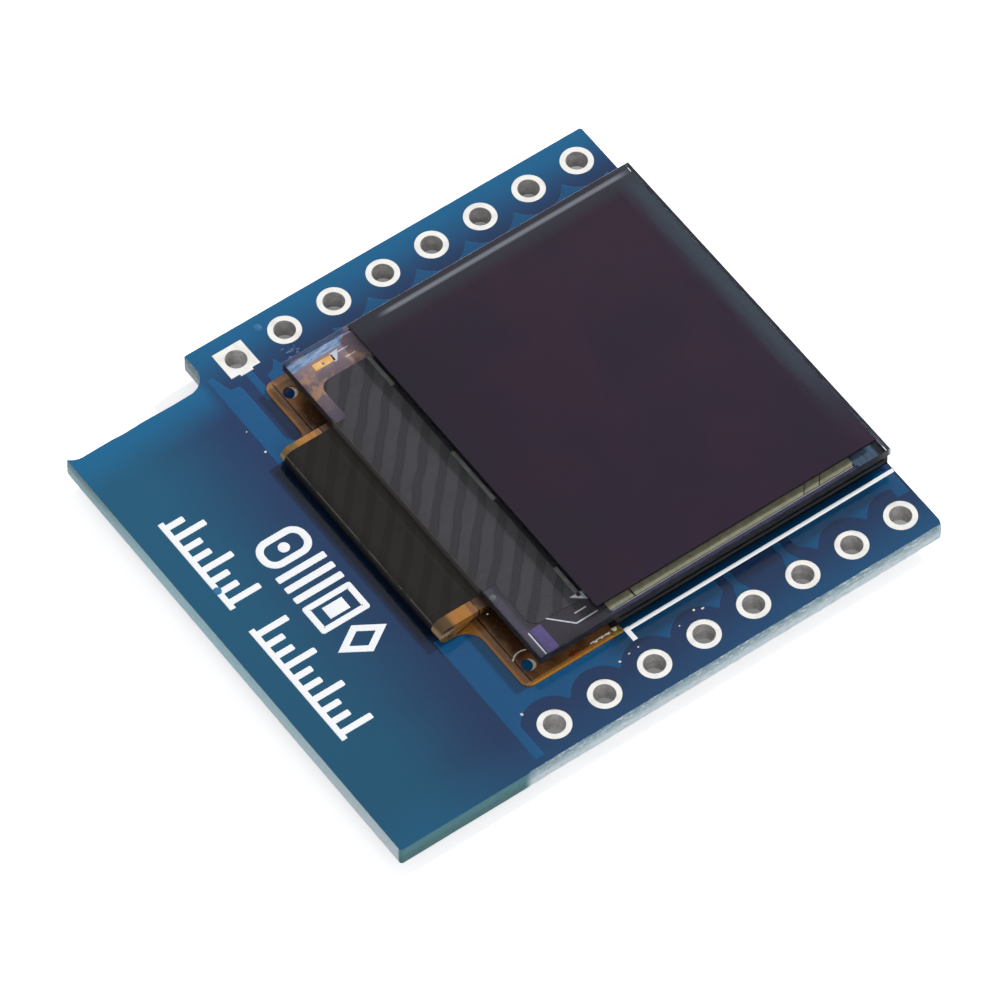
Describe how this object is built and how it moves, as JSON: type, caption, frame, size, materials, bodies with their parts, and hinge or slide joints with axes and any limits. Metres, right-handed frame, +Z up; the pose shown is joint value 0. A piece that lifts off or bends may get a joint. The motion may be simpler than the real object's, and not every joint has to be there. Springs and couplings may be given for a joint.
{
  "type": "small oled module",
  "caption": "Small monochrome display module: a glass display panel stuck face up on a blue circuit board, with a row of plated pin holes along each long edge.",
  "frame": {"origin": "under the middle of the board's outline, at the undersides of the chip capacitors that it stands on", "axes": "+X along the pin rows towards the display end, +Y across the board towards the row with the square pad, +Z up out of the display"},
  "size_m": [0.0276, 0.0256, 0.0033],
  "materials": {
    "solder_mask_board": "glossy solder mask over glass-fibre laminate",
    "tinned_copper": "bright tin over copper",
    "clear_glass": "clear polished glass",
    "dark_glass": "etched glass over a dark backing",
    "seal_glue": "cured clear resin",
    "desiccant": "chalky white sheet",
    "emissive_stack": "dark metallic thin film",
    "polarizing_film": "near-black film with a satin gloss",
    "polyimide": "amber polyimide over copper",
    "black_film": "satin black cover film",
    "conductive_bond": "thin particle-filled film",
    "silicon": "lapped silicon",
    "black_resin": "glossy black resin",
    "solder": "bright solder",
    "foam_tape": "black foam tape",
    "capacitor_ceramic": "tan fired ceramic with tinned ends",
    "resistor_body": "white ceramic with a black glaze and tinned ends"
  },
  "bodies": {
    "root": {"printed_board": "solder_mask_board", "plated_hole_a1": "tinned_copper", "plated_hole_a2": "tinned_copper", "plated_hole_a3": "tinned_copper", "plated_hole_a4": "tinned_copper", "plated_hole_a5": "tinned_copper", "plated_hole_a6": "tinned_copper", "plated_hole_a7": "tinned_copper", "plated_hole_a8": "tinned_copper", "plated_hole_b1": "tinned_copper", "plated_hole_b2": "tinned_copper", "plated_hole_b3": "tinned_copper", "plated_hole_b4": "tinned_copper", "plated_hole_b5": "tinned_copper", "plated_hole_b6": "tinned_copper", "plated_hole_b7": "tinned_copper", "plated_hole_b8": "tinned_copper", "jumper_pads": "tinned_copper", "front_glass": "clear_glass", "rear_cap": "dark_glass", "edge_seal": "seal_glue", "desiccant_sheet": "desiccant", "emissive_layer": "emissive_stack", "polarizer": "polarizing_film", "flex_circuit": "polyimide", "flex_cover_film": "black_film", "bond_film": "conductive_bond", "driver_chip": "silicon", "chip_resin": "black_resin", "tail_solder_joints": "solder", "part_solder_joints": "solder", "sticky_pad": "foam_tape", "capacitor_1": "capacitor_ceramic", "capacitor_2": "capacitor_ceramic", "capacitor_3": "capacitor_ceramic", "capacitor_4": "capacitor_ceramic", "capacitor_5": "capacitor_ceramic", "capacitor_6": "capacitor_ceramic", "capacitor_7": "capacitor_ceramic", "capacitor_8": "capacitor_ceramic", "resistor_1": "resistor_body", "resistor_2": "resistor_body", "resistor_3": "resistor_body", "resistor_4": "resistor_body"}
  },
  "joints": []
}
